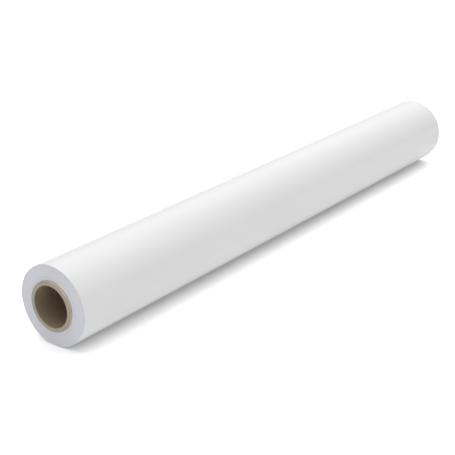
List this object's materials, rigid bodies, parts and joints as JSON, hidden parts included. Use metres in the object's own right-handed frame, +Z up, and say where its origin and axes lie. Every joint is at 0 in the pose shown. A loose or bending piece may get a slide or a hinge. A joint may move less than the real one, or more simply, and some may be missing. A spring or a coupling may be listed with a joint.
{
  "type": "roll of sign vinyl",
  "caption": "Full-width roll of white gloss self-adhesive sign vinyl on its paper liner, wound on a spiral paperboard core, with a loose tail that lifts and peels.",
  "frame": {"origin": "on the axis of the core's bore, halfway along the core", "axes": "+X along the roll's axis, +Z up with the roll lying on its side, +Y to the side where the tail's cut edge lies"},
  "size_m": [1.28, 0.1482, 0.148],
  "materials": {
    "kraft_lining": "matte brown kraft paper lining with a spiral seam",
    "core_board": "matte grey-tan board, cut edge with fine plies",
    "kraft_wrap": "matte tan paper wrap, dark with glue at its cut edge",
    "start_tape": "matte cream crepe tape, sticky on both sides",
    "wound_web": "gloss white outer face; satin cut edges with fine winding lines",
    "release_liner": "smooth satin silicone-coated paper",
    "vinyl_film": "gloss white calendered vinyl",
    "tail_tape": "matte cream crepe masking tape"
  },
  "bodies": {
    "roll": {"core_inner_ply": "kraft_lining", "core_board_plies": "core_board", "core_outer_ply": "kraft_wrap", "core_start_tape": "start_tape", "wound_turns": "wound_web", "last_turn_liner": "release_liner", "last_turn_film": "vinyl_film"},
    "tail": {"tail_liner": "release_liner", "tail_film": "vinyl_film"},
    "film_lead": {"peel_film": "vinyl_film", "tail_tape_tabs": "tail_tape"}
  },
  "joints": [
    {"name": "tail_lift", "type": "hinge", "parent": "roll", "child": "tail", "pos_m": [0, 0.05246, 0.0524], "axis": [1, 0, 0], "range_deg": [0, 110]},
    {"name": "film_peel", "type": "hinge", "parent": "tail", "child": "film_lead", "pos_m": [0, 0.07227, 0.01667], "axis": [1, 0, 0], "range_deg": [0, 150]}
  ]
}
